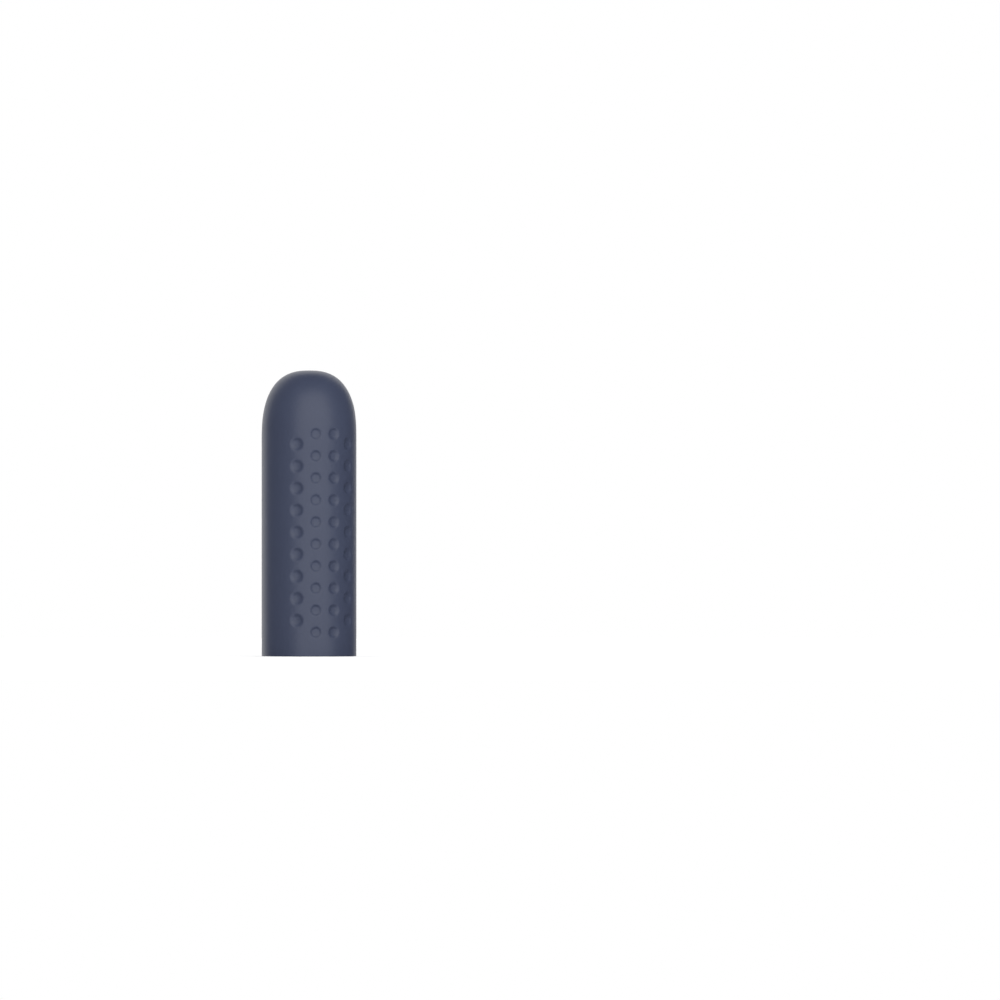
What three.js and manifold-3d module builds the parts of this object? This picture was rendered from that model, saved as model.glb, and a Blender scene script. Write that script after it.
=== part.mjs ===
// Stylus tip protector: a soft silicone cap, moulded in one piece, that is pushed on with its open
// rim first and holds by its own stretch.
// Millimetres, +Z up. The cap stands on its open rim. The origin is on the cap's axis in the rim
// plane, the flat side faces -Y, and the two dimpled grip zones face +X and -X.

import * as THREE from 'three';
import { mergeVertices } from 'three/addons/utils/BufferGeometryUtils.js';
import Module from 'manifold-3d';

const wasm = await Module();
wasm.setup();

// The fit: the sizes from which the hollow is worked out, before it is made smaller for its grip
const stylus = {
  barrelRadius: 4.45,
  flatReach: 4.04, // from the axis to the flat side
  taperLength: 8.5, // from the full width to the foot of the narrow end
  nibFootRadius: 2.5,
  nibLength: 9.4,
};

// The hollow inside. It is a little smaller than the fit, so that the silicone stretches and grips.
const socket = {
  squeeze: 0.05, // how much nearer to the axis its wall is than the fit
  depth: 10.8, // of its full width, from the rim to the seat
  nibRoomRadius: 3.0, // wider than the narrow end, so that nothing touches there
  nibGap: 0.3, // spare length at the end of the narrow room
  nibRoomRound: 2.4, // height of that room's rounded end
  leadIn: 0.2, // how much wider the mouth is at the rim
  leadInHeight: 0.4,
};

// The silicone around the hollow
const wall = {
  round: 0.75, // on the round sides
  flat: 0.6, // on the flat side
  crown: 1.9, // above the narrow room
};
const rimRound = 0.16; // radius of the outer edge that the cap stands on
const domeHeight = 7.5;

// A dome's power is 2 for an ellipse. A higher power has fuller shoulders and a flatter crown.
const domePower = 2.55;
const nibRoomPower = 2;

// The grip: dimples in four columns along the cap on each side, the outer columns half a row
// higher than the inner ones, with one dimple fewer and a little wider
const grip = {
  columnStep: 2.085, // from column to column, along the skin
  rowPitch: 2.38,
  lowestRow: 2.66, // centre of the lowest dimple of an inner column, above the rim
  topClearance: 6.0, // no dimple's centre comes nearer to the top than this
  innerRadius: 0.67,
  outerRadius: 0.785,
  dishDepth: 0.2,
};

// How finely round surfaces are divided
const facets = { around: 72, dome: 12, rim: 3, nibRoomEnd: 6, dishAround: 12, dishRings: 2 };

const overrun = 1.0; // how far a cutting tool runs past what it cuts

// Sizes that follow from the ones above
const socketRadius = stylus.barrelRadius - socket.squeeze;
const socketFlatReach = stylus.flatReach - socket.squeeze;
const capRadius = socketRadius + wall.round;
const capFlatReach = socketFlatReach + wall.flat;
const nibRoomTop = socket.depth + stylus.taperLength + stylus.nibLength + socket.nibGap;
const capLength = nibRoomTop + wall.crown;
const shoulderHeight = capLength - domeHeight;

// The tapered seat has the slope of the fit's taper and ends where the narrow room begins
const taperSlope = (stylus.barrelRadius - stylus.nibFootRadius) / stylus.taperLength;
const seatTop = socket.depth + (socketRadius - socket.nibRoomRadius) / taperSlope;

// Points of a dome's profile, from its side at the foot to its top on the axis
function domePoints(radius, foot, height, power, rings) {
  return Array.from({ length: rings + 1 }, (_, ring) => {
    const angle = (Math.PI / 2) * (ring / rings);
    const side = ring === rings ? 0 : Math.cos(angle) ** (2 / power);
    return new THREE.Vector2(radius * side, foot + height * Math.sin(angle) ** (2 / power));
  });
}

// Points of the rounded rim edge, from the rim plane up to the side wall at the given reach
function rimEdge(reach) {
  return Array.from({ length: facets.rim + 1 }, (_, step) => {
    const angle = (Math.PI / 2) * (step / facets.rim);
    return new THREE.Vector2(
      reach - rimRound + rimRound * Math.sin(angle),
      rimRound - rimRound * Math.cos(angle),
    );
  });
}

// Points of the widened mouth, from below the rim plane up to the socket wall at the given reach
function mouthEdge(reach) {
  const slope = socket.leadIn / socket.leadInHeight;
  return [
    new THREE.Vector2(reach + socket.leadIn + slope * overrun, -overrun),
    new THREE.Vector2(reach, socket.leadInHeight),
  ];
}

// A closed geometry as a solid that can be cut and joined
function solidOf(geometry) {
  const bare = geometry.clone();
  bare.deleteAttribute('normal');
  bare.deleteAttribute('uv');
  const merged = mergeVertices(bare);
  const corners = merged.index.array;
  const triangles = [];
  for (let first = 0; first < corners.length; first += 3) {
    const [a, b, c] = corners.slice(first, first + 3);
    if (a !== b && b !== c && c !== a) triangles.push(a, b, c);
  }
  return new wasm.Manifold(new wasm.Mesh({
    numProp: 3,
    vertProperties: merged.attributes.position.array,
    triVerts: Uint32Array.from(triangles),
  }));
}

// A solid as a geometry again
function geometryOf(solid) {
  const { vertProperties, triVerts } = solid.getMesh();
  const geometry = new THREE.BufferGeometry();
  geometry.setAttribute('position', new THREE.BufferAttribute(vertProperties, 3));
  geometry.setIndex(new THREE.BufferAttribute(triVerts, 1));
  geometry.computeVertexNormals();
  return geometry;
}

// A profile of radius and height, turned about the Z axis
function turned(profile, sides) {
  return new THREE.LatheGeometry(profile, sides).rotateX(Math.PI / 2);
}

// Everything beyond a flat side. The edge gives the side's reach from the axis at each height.
function beyondFlat(edge, top) {
  const far = capRadius + overrun;
  const outline = [
    new THREE.Vector2(far, edge[0].y),
    ...edge,
    new THREE.Vector2(edge[edge.length - 1].x, top),
    new THREE.Vector2(far, top),
  ];
  const block = new THREE.ExtrudeGeometry(new THREE.Shape(outline), {
    depth: 2 * far,
    bevelEnabled: false,
  });
  // The outline's reach turns to -Y and its height to +Z, and the block runs across along X
  const turn = new THREE.Matrix4().makeBasis(
    new THREE.Vector3(0, -1, 0),
    new THREE.Vector3(0, 0, 1),
    new THREE.Vector3(-1, 0, 0),
  );
  return block.applyMatrix4(turn).translate(far, 0, 0);
}

// The outer body: a dome-ended cylinder whose flat side is cut from rim to crown, so that the
// flat runs out in the dome as a rounded arch
function capBody() {
  const profile = [
    new THREE.Vector2(0, 0),
    ...rimEdge(capRadius),
    ...domePoints(capRadius, shoulderHeight, domeHeight, domePower, facets.dome),
  ];
  const belowRim = new THREE.Vector2(capFlatReach - rimRound, -overrun);
  const flatEdge = [belowRim, ...rimEdge(capFlatReach)];
  return solidOf(turned(profile, facets.around))
    .subtract(solidOf(beyondFlat(flatEdge, capLength + overrun)));
}

// The hollow: a wide socket, a tapered seat and a narrow room on one axis, with one flat side
function socketHollow() {
  const mouth = mouthEdge(socketRadius);
  const roomEndFoot = nibRoomTop - socket.nibRoomRound;
  const profile = [
    new THREE.Vector2(0, mouth[0].y),
    ...mouth,
    new THREE.Vector2(socketRadius, socket.depth),
    new THREE.Vector2(socket.nibRoomRadius, seatTop),
    ...domePoints(
      socket.nibRoomRadius, roomEndFoot, socket.nibRoomRound, nibRoomPower, facets.nibRoomEnd,
    ),
  ];
  return solidOf(turned(profile, facets.around))
    .subtract(solidOf(beyondFlat(mouthEdge(socketFlatReach), nibRoomTop)));
}

// How far the outer skin is from the axis at a height
function skinRadius(height) {
  const rise = Math.max(0, (height - shoulderHeight) / domeHeight);
  return capRadius * (1 - rise ** domePower) ** (1 / domePower);
}

// The tool that presses one dimple: a disc with a shallow ball-shaped bottom. Its axis lies along
// +Z, with the skin at height zero.
function dishTool(radius) {
  const ballRadius = (radius ** 2 + grip.dishDepth ** 2) / (2 * grip.dishDepth);
  const lip = Math.asin(radius / ballRadius);
  const profile = Array.from({ length: facets.dishRings + 1 }, (_, ring) => {
    const angle = lip * (ring / facets.dishRings);
    return new THREE.Vector2(
      ballRadius * Math.sin(angle),
      ballRadius - grip.dishDepth - ballRadius * Math.cos(angle),
    );
  });
  const back = overrun * Math.sin(lip);
  profile.push(
    new THREE.Vector2(radius + overrun * Math.cos(lip), back),
    new THREE.Vector2(0, back),
  );
  return turned(profile, facets.dishAround);
}

// The dimples of one grip zone, whose middle faces the given direction around the axis
function gripZone(facing) {
  const columns = [
    { offset: grip.columnStep / 2, radius: grip.innerRadius, lowest: grip.lowestRow },
    {
      offset: (3 * grip.columnStep) / 2,
      radius: grip.outerRadius,
      lowest: grip.lowestRow + grip.rowPitch / 2,
    },
  ];
  const dishes = [];
  for (const { offset, radius, lowest } of columns) {
    for (const side of [-1, 1]) {
      const direction = facing + (side * offset) / capRadius;
      for (let height = lowest; height <= capLength - grip.topClearance; height += grip.rowPitch) {
        dishes.push(
          dishTool(radius)
            .translate(0, 0, skinRadius(height))
            .rotateY(Math.PI / 2)
            .rotateZ(direction)
            .translate(0, 0, height),
        );
      }
    }
  }
  return dishes;
}

function protectorCap() {
  let cap = capBody().subtract(socketHollow());
  for (const dish of [...gripZone(0), ...gripZone(Math.PI)]) cap = cap.subtract(solidOf(dish));
  const silicone = new THREE.MeshStandardMaterial({ color: 0x444a5e, roughness: 0.55, metalness: 0 });
  const mesh = new THREE.Mesh(geometryOf(cap), silicone);
  mesh.name = 'protector_cap';
  return mesh;
}

const part = new THREE.Group();
part.add(protectorCap());

export default part;
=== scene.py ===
# Stylus tip protector: one soft silicone cap, standing on its open rim. Metres, +Z up, in the
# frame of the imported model, with the flat side facing -Y and the grip zones facing +X and -X.

import math

import bmesh
import bpy
from mathutils import Matrix, Vector


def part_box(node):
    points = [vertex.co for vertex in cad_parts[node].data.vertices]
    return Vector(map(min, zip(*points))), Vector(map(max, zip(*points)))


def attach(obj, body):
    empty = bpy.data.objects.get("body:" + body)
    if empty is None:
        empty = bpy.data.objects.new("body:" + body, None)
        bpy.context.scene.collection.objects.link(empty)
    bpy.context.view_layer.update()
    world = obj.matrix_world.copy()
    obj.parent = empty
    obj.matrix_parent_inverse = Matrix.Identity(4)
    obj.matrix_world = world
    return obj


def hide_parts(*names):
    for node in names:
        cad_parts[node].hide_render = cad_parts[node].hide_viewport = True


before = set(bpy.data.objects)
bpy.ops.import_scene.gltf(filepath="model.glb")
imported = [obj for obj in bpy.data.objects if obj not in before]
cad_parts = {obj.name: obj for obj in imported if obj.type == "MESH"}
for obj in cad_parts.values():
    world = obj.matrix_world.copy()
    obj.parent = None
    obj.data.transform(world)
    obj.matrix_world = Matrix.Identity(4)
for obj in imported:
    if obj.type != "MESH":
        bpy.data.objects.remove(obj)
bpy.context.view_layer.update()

# The camera
# The photograph is a level view from far away, so the camera has a long lens. It is placed so that
# a pixel of the photograph is a pixel of the render: the cap's axis and rim lie where they do there.
MM = 0.001
IMAGE_WIDTH_PX = 1000
MM_PER_PX = 0.1081
AXIS_PX = 309.25
RIM_PX = 656.3
VIEW_AZIMUTH = math.radians(-110)
HALF_ANGLE = math.radians(1.0)
NEAREST_SEEN = 10 * MM


def facing(azimuth):
    """The level direction away from the cap's axis at an azimuth, which is 0 out of the flat side."""
    return Vector((math.sin(azimuth), -math.cos(azimuth), 0))


half_width = IMAGE_WIDTH_PX / 2 * MM_PER_PX * MM
right_of_axis = (IMAGE_WIDTH_PX / 2 - AXIS_PX) * MM_PER_PX * MM
above_rim = (RIM_PX - IMAGE_WIDTH_PX / 2) * MM_PER_PX * MM
towards_camera = facing(VIEW_AZIMUTH)
to_the_right = facing(VIEW_AZIMUTH + math.pi / 2)

lens = bpy.data.cameras.new("camera")
lens.angle = 2 * HALF_ANGLE
lens.clip_start = NEAREST_SEEN
camera = bpy.data.objects.new("camera", lens)
bpy.context.collection.objects.link(camera)
camera.location = towards_camera * half_width / math.tan(HALF_ANGLE) + to_the_right * right_of_axis
camera.location.z = above_rim
camera.rotation_euler = towards_camera.to_track_quat("Z", "Y").to_euler()
bpy.context.scene.camera = camera

# The cap
# A round sleeve with a domed end and one flat side, over a D-shaped socket that narrows along a
# seat to a rounded room. It is one moulding of soft slate-blue silicone, which holds by its own
# stretch, and two zones of dimples pressed into its skin give the fingers their grip.
cap_low, cap_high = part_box("protector_cap")
CAP_RADIUS = cap_high[0]
CAP_LENGTH = cap_high[2]
FLAT_REACH = -cap_low[1]
FLAT_EDGE_SOFTNESS = 0.045 * MM
DOME_HEIGHT = 7.5 * MM
DOME_POWER = 2.55
RIM_ROUND = 0.1 * MM

WALL = 0.75 * MM
FLAT_WALL = 0.6 * MM
CROWN = 1.9 * MM
SOCKET_DEPTH = 10.8 * MM
LEAD_IN = 0.2 * MM
LEAD_IN_HEIGHT = 0.4 * MM
TAPER_LENGTH = 8.5 * MM
TAPER_NARROWING = 1.95 * MM
NIB_ROOM_RADIUS = 3.0 * MM
NIB_ROOM_ROUND = 2.4 * MM

COLUMN_STEP = 2.085 * MM
ROW_PITCH = 2.38 * MM
LOWEST_INNER = 2.61 * MM
LOWEST_OUTER = 3.895 * MM
TOP_CLEARANCE = 6.0 * MM
INNER_DIMPLE = {"ring": 0.54 * MM, "half_wall": 0.17 * MM, "wall": 0.135 * MM, "bowl": 0.06 * MM}
OUTER_DIMPLE = {"ring": 0.62 * MM, "half_wall": 0.22 * MM, "wall": 0.105 * MM, "bowl": 0.11 * MM}

SHOULDER = CAP_LENGTH - DOME_HEIGHT
SOCKET_RADIUS = CAP_RADIUS - WALL
SOCKET_FLAT_REACH = FLAT_REACH - FLAT_WALL
TAPER_SLOPE = TAPER_NARROWING / TAPER_LENGTH
SEAT_TOP = SOCKET_DEPTH + (SOCKET_RADIUS - NIB_ROOM_RADIUS) / TAPER_SLOPE
NIB_ROOM_TOP = CAP_LENGTH - CROWN
HIGHEST_DIMPLE = CAP_LENGTH - TOP_CLEARANCE
OUTER_COLUMN = 1.5 * COLUMN_STEP
INNER_COLUMN = 0.5 * COLUMN_STEP

# Fine rows and columns only where the dimples are
FINE_STEP = 0.086 * MM
DIMPLE_REACH = OUTER_DIMPLE["ring"] + OUTER_DIMPLE["half_wall"] + FINE_STEP
GRIP_BOTTOM = LOWEST_INNER - DIMPLE_REACH
GRIP_TOP = HIGHEST_DIMPLE + DIMPLE_REACH
GRIP_HALF_ANGLE = (OUTER_COLUMN + DIMPLE_REACH) / CAP_RADIUS
COARSE_ANGLE = math.radians(3)
HOLLOW_STEP = 1 * MM
DOME_ROWS = 36
NIB_ROOM_ROWS = 8
ROUND_STEPS = 4
FLAT_EDGE_SHARES = (-1, -0.5, 0, 0.5, 1)
MERGE_DISTANCE = 0.001 * MM
CUT_TOLERANCE = 0.0001 * MM


def skin_radius(height):
    """How far the outer skin is from the axis at a height."""
    rise = min(max((height - SHOULDER) / DOME_HEIGHT, 0.0), 1.0)
    return CAP_RADIUS * (1 - rise**DOME_POWER) ** (1 / DOME_POWER)


def steps_between(low, high, largest):
    """Evenly spaced values from low to high, no further apart than largest."""
    count = math.ceil((high - low) / largest)
    return [low + (high - low) * step / count for step in range(count + 1)]


def mouth_flare(height):
    """How far the rounded mouth is wider than the socket at a height."""
    below = max(0.0, 1 - height / LEAD_IN_HEIGHT)
    return LEAD_IN * (1 - math.sqrt(1 - below**2))


def rim_inset(height):
    """How far the rounded edge of the rim is inside the skin at a height."""
    below = max(0.0, 1 - height / RIM_ROUND)
    return RIM_ROUND * (1 - math.sqrt(1 - below**2))


def rounded(height):
    """Heights from the rim up to the end of a rounded edge, closer together near the rim."""
    turns = [math.pi / 2 * step / ROUND_STEPS for step in range(ROUND_STEPS + 1)]
    return [height * (1 - math.cos(turn)) for turn in turns]


def skin_profile():
    """The outer skin from the top of the dome down to the rim, as (radius, height)."""
    lowest_angle = math.asin(((GRIP_TOP - SHOULDER) / DOME_HEIGHT) ** (DOME_POWER / 2))
    dome = []
    for angle in steps_between(lowest_angle, math.pi / 2, (math.pi / 2 - lowest_angle) / DOME_ROWS):
        height = SHOULDER + DOME_HEIGHT * math.sin(angle) ** (2 / DOME_POWER)
        dome.append((CAP_RADIUS * max(0.0, math.cos(angle)) ** (2 / DOME_POWER), height))
    dome[-1] = (0.0, CAP_LENGTH)
    grip = [(skin_radius(h), h) for h in steps_between(GRIP_BOTTOM, GRIP_TOP, FINE_STEP)]
    edge = [(CAP_RADIUS - rim_inset(h), h) for h in rounded(RIM_ROUND)]
    return dome[:0:-1] + grip[::-1] + edge[::-1]


def socket_profile():
    """The hollow from the mouth up to its rounded end, as (radius, height)."""
    points = [(SOCKET_RADIUS + mouth_flare(h), h) for h in rounded(LEAD_IN_HEIGHT)]
    points += [(SOCKET_RADIUS, h) for h in steps_between(LEAD_IN_HEIGHT, SOCKET_DEPTH, HOLLOW_STEP)[1:]]
    for height in steps_between(SOCKET_DEPTH, SEAT_TOP, HOLLOW_STEP)[1:]:
        points.append((SOCKET_RADIUS - (height - SOCKET_DEPTH) * TAPER_SLOPE, height))
    foot = NIB_ROOM_TOP - NIB_ROOM_ROUND
    points += [(NIB_ROOM_RADIUS, h) for h in steps_between(SEAT_TOP, foot, HOLLOW_STEP)[1:]]
    for step in range(1, NIB_ROOM_ROWS):
        angle = math.pi / 2 * step / NIB_ROOM_ROWS
        height = foot + NIB_ROOM_ROUND * math.sin(angle)
        points.append((NIB_ROOM_RADIUS * math.cos(angle), height))
    return points + [(0.0, NIB_ROOM_TOP)]


def spun_cap():
    """The whole profile turned about the axis, with fine columns in the grip zones."""
    bm = bmesh.new()
    start = Matrix.Rotation(-GRIP_HALF_ANGLE, 3, "Z")
    chain = [bm.verts.new(start @ Vector((r, 0, h))) for r, h in skin_profile() + socket_profile()]
    edges = [bm.edges.new(pair) for pair in zip(chain, chain[1:])]
    flat_half_angle = math.acos(FLAT_REACH / CAP_RADIUS)
    between_zones = math.pi - 2 * GRIP_HALF_ANGLE
    flank = (between_zones - 2 * flat_half_angle) / 2
    fine_angle = FINE_STEP / CAP_RADIUS
    sectors = [
        (2 * GRIP_HALF_ANGLE, fine_angle),
        (between_zones, COARSE_ANGLE),
        (2 * GRIP_HALF_ANGLE, fine_angle),
        (flank, COARSE_ANGLE),
        (2 * flat_half_angle, COARSE_ANGLE),
        (flank, COARSE_ANGLE),
    ]
    last = chain + edges
    for angle, largest_step in sectors:
        last = bmesh.ops.spin(
            bm,
            geom=last,
            cent=(0, 0, 0),
            axis=(0, 0, 1),
            angle=angle,
            steps=math.ceil(angle / largest_step),
            use_merge=False,
        )["geom_last"]
    bmesh.ops.remove_doubles(bm, verts=bm.verts, dist=MERGE_DISTANCE)
    bmesh.ops.recalc_face_normals(bm, faces=bm.faces)
    return bm


def is_outside(vert):
    """Whether a vertex is on the outer skin, and not in the hollow or on its mouth."""
    return math.hypot(vert.co.x, vert.co.y) > skin_radius(vert.co.z) - WALL / 2


def flattened(y, reach):
    """A place beyond the flat side is moved back to it, with a softly rounded edge."""
    into_edge = FLAT_EDGE_SOFTNESS - reach - y
    if into_edge <= 0:
        return y
    if into_edge >= 2 * FLAT_EDGE_SOFTNESS:
        return -reach
    return y + into_edge**2 / (4 * FLAT_EDGE_SOFTNESS)


def faces_at_flat(bm, outside, reach):
    """The faces of the skin or of the hollow that its flat side cuts or takes away."""
    faces = [f for f in bm.faces if any(v.co.y < FLAT_EDGE_SOFTNESS - reach for v in f.verts)]
    return [f for f in faces if all(is_outside(v) == outside for v in f.verts)]


def cut_flat_side(bm, outside):
    """Gives the skin or the hollow its flat side, which runs out in the dome as an arch."""
    reach = FLAT_REACH if outside else SOCKET_FLAT_REACH
    for share in FLAT_EDGE_SHARES:
        faces = faces_at_flat(bm, outside, reach)
        parts = {part for face in faces for part in (*face.verts, *face.edges)}
        bmesh.ops.bisect_plane(
            bm,
            geom=list(parts) + faces,
            dist=CUT_TOLERANCE,
            plane_co=(0, -reach - share * FLAT_EDGE_SOFTNESS, 0),
            plane_no=(0, 1, 0),
        )
    for vert in {v for face in faces_at_flat(bm, outside, reach) for v in face.verts}:
        here = reach - rim_inset(vert.co.z) if outside else reach + mouth_flare(vert.co.z)
        vert.co.y = flattened(vert.co.y, here)


def dimple_depth(away, ring, half_wall, wall, bowl):
    """Depth of a dimple at a distance from its middle: a shallow bowl inside a soft wall."""
    share = min(max((away - ring) / half_wall, -1), 1)
    return wall * (2 - 3 * share + share**3) / 4 + bowl * max(0.0, 1 - (away / ring) ** 2)


def press_dimples(bm):
    """Four columns of dimples in each zone. The outer ones are wider and lie between the inner rows."""
    columns = []
    for side in (-1, 1):
        columns.append((side * INNER_COLUMN, LOWEST_INNER, INNER_DIMPLE))
        columns.append((side * OUTER_COLUMN, LOWEST_OUTER, OUTER_DIMPLE))
    for vert in [v for v in bm.verts if is_outside(v) and v.co.z < GRIP_TOP]:
        facing_side = math.copysign(1, vert.co.x)
        across = math.atan2(vert.co.y * facing_side, abs(vert.co.x)) * CAP_RADIUS
        for place, lowest, form in columns:
            last_row = math.floor((HIGHEST_DIMPLE - lowest) / ROW_PITCH)
            row = min(max(round((vert.co.z - lowest) / ROW_PITCH), 0), last_row)
            away = math.hypot(across - place, vert.co.z - lowest - row * ROW_PITCH)
            inward = dimple_depth(away, **form)
            if inward > 0:
                vert.co -= Vector((vert.co.x, vert.co.y, 0)).normalized() * inward


# A lightly blasted mould leaves a faintly clouded skin, with a fine grain that dulls its gloss
SILICONE_COLOUR = (0.047, 0.057, 0.100, 1)
SILICONE_PALER = (0.051, 0.063, 0.108, 1)
SILICONE_ROUGHNESS = (0.36, 0.44)
SILICONE_IOR = 1.41
CLOUD_SCALE = 0.25 / MM
CLOUD_DETAIL = 3
GRAIN_SCALE = 14 / MM
GRAIN_DETAIL = 2
GRAIN_HEIGHT = 0.005 * MM


def moulded_silicone():
    """Dark slate-blue silicone with a soft matt sheen."""
    silicone = bpy.data.materials.new("silicone")
    silicone.use_nodes = True
    nodes = silicone.node_tree.nodes
    links = silicone.node_tree.links
    skin = nodes["Principled BSDF"]
    skin.inputs["IOR"].default_value = SILICONE_IOR
    place = nodes.new("ShaderNodeTexCoord")

    cloud = nodes.new("ShaderNodeTexNoise")
    cloud.inputs["Scale"].default_value = CLOUD_SCALE
    cloud.inputs["Detail"].default_value = CLOUD_DETAIL
    links.new(place.outputs["Object"], cloud.inputs["Vector"])
    colour = nodes.new("ShaderNodeMix")
    colour.data_type = "RGBA"
    colour.inputs["A"].default_value = SILICONE_COLOUR
    colour.inputs["B"].default_value = SILICONE_PALER
    links.new(cloud.outputs["Fac"], colour.inputs["Factor"])
    links.new(colour.outputs["Result"], skin.inputs["Base Color"])

    grain = nodes.new("ShaderNodeTexNoise")
    grain.inputs["Scale"].default_value = GRAIN_SCALE
    grain.inputs["Detail"].default_value = GRAIN_DETAIL
    links.new(place.outputs["Object"], grain.inputs["Vector"])
    matt = nodes.new("ShaderNodeMapRange")
    matt.inputs["To Min"].default_value, matt.inputs["To Max"].default_value = SILICONE_ROUGHNESS
    links.new(grain.outputs["Fac"], matt.inputs["Value"])
    links.new(matt.outputs["Result"], skin.inputs["Roughness"])
    bump = nodes.new("ShaderNodeBump")
    bump.inputs["Strength"].default_value = 1.0
    bump.inputs["Distance"].default_value = GRAIN_HEIGHT
    links.new(grain.outputs["Fac"], bump.inputs["Height"])
    links.new(bump.outputs["Normal"], skin.inputs["Normal"])
    return silicone


cap_bmesh = spun_cap()
cut_flat_side(cap_bmesh, outside=False)
cut_flat_side(cap_bmesh, outside=True)
press_dimples(cap_bmesh)
for face in cap_bmesh.faces:
    face.smooth = True
cap_mesh = bpy.data.meshes.new("cap_moulding")
cap_bmesh.to_mesh(cap_mesh)
cap_bmesh.free()
cap_mesh.materials.append(moulded_silicone())

cap = bpy.data.objects.new("cap_moulding", cap_mesh)
bpy.context.collection.objects.link(cap)
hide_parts("protector_cap")
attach(cap, "root")

# The floor
# A round white table top, painted matt, on which the cap stands. The camera sees it as white ground
# that keeps the cap's soft shadow, and the cap's sheen mirrors only the soft boxes.
FLOOR_RADIUS = 0.4
FLOOR_CORNERS = 96
FLOOR_COLOUR = (0.8, 0.8, 0.8, 1)
FLOOR_ROUGHNESS = 0.9
FLOOR_GLOW = 0.35


def seen_rays(nodes, links):
    """1 on the rays by which the camera sees a thing, also through something clear, and else 0."""
    path = nodes.new("ShaderNodeLightPath")
    seen = nodes.new("ShaderNodeMath")
    seen.operation = "MAXIMUM"
    links.new(path.outputs["Is Camera Ray"], seen.inputs[0])
    links.new(path.outputs["Is Transmission Ray"], seen.inputs[1])
    return seen.outputs["Value"]


def matt_white():
    """White paint that looks a little brighter to the camera, and lights nothing."""
    white = bpy.data.materials.new("white_table")
    white.use_nodes = True
    nodes = white.node_tree.nodes
    links = white.node_tree.links
    paint = nodes["Principled BSDF"]
    paint.inputs["Base Color"].default_value = FLOOR_COLOUR
    paint.inputs["Roughness"].default_value = FLOOR_ROUGHNESS
    paint.inputs["Specular IOR Level"].default_value = 0
    paint.inputs["Emission Color"].default_value = (1, 1, 1, 1)
    glow = nodes.new("ShaderNodeMath")
    glow.operation = "MULTIPLY"
    glow.inputs[1].default_value = FLOOR_GLOW
    links.new(seen_rays(nodes, links), glow.inputs[0])
    links.new(glow.outputs["Value"], paint.inputs["Emission Strength"])
    return white


floor_bmesh = bmesh.new()
bmesh.ops.create_circle(floor_bmesh, cap_ends=True, segments=FLOOR_CORNERS, radius=FLOOR_RADIUS)
floor_mesh = bpy.data.meshes.new("floor")
floor_bmesh.to_mesh(floor_mesh)
floor_bmesh.free()
floor_mesh.materials.append(matt_white())

floor = bpy.data.objects.new("floor", floor_mesh)
floor.visible_glossy = False
bpy.context.collection.objects.link(floor)

# The light
# A white room with two large soft boxes: a bright one on the camera's side, a little to its right,
# and a dimmer, wider one behind the cap, which lines both of its sides. The room lights the cap
# evenly, and hardly shows in its sheen.
ROOM_LIGHT = 0.5
ROOM_SHEEN = 0.02
BOX_DISTANCE = 0.5
FRONT_AZIMUTH = VIEW_AZIMUTH + math.radians(12.5)
FRONT_WIDTH = 0.98
FRONT_HEIGHTS = (-0.4, 0.71)
FRONT_RADIANCE = 1.75
BACK_AZIMUTH = VIEW_AZIMUTH + math.radians(190)
BACK_WIDTH = 1.05
BACK_HEIGHTS = (-0.4, 0.63)
BACK_RADIANCE = 1.2


def white_room():
    """Even light from all around, white to the camera and almost dark in the cap's sheen."""
    world = bpy.data.worlds.new("room")
    world.use_nodes = True
    nodes = world.node_tree.nodes
    links = world.node_tree.links
    room = nodes["Background"]
    room.inputs["Color"].default_value = (1, 1, 1, 1)
    path = nodes.new("ShaderNodeLightPath")
    sheen = nodes.new("ShaderNodeMapRange")
    sheen.inputs["To Min"].default_value = ROOM_LIGHT
    sheen.inputs["To Max"].default_value = ROOM_SHEEN
    links.new(path.outputs["Is Glossy Ray"], sheen.inputs["Value"])
    strength = nodes.new("ShaderNodeMix")
    strength.inputs["B"].default_value = 1.0
    links.new(seen_rays(nodes, links), strength.inputs["Factor"])
    links.new(sheen.outputs["Result"], strength.inputs["A"])
    links.new(strength.outputs["Result"], room.inputs["Strength"])
    return world


def soft_box(name, azimuth, width, heights, radiance):
    """An upright rectangular light that faces the cap's axis from one side."""
    light = bpy.data.lights.new(name, "AREA")
    light.shape = "RECTANGLE"
    light.size = width
    light.size_y = heights[1] - heights[0]
    light.energy = math.pi * light.size * light.size_y * radiance
    lamp = bpy.data.objects.new(name, light)
    lamp.visible_camera = False
    bpy.context.collection.objects.link(lamp)
    lamp.location = facing(azimuth) * BOX_DISTANCE
    lamp.location.z = sum(heights) / 2
    lamp.rotation_euler = facing(azimuth).to_track_quat("Z", "Y").to_euler()


bpy.context.scene.world = white_room()
soft_box("front_box", FRONT_AZIMUTH, FRONT_WIDTH, FRONT_HEIGHTS, FRONT_RADIANCE)
soft_box("back_box", BACK_AZIMUTH, BACK_WIDTH, BACK_HEIGHTS, BACK_RADIANCE)
bpy.context.scene.view_settings.view_transform = "Standard"
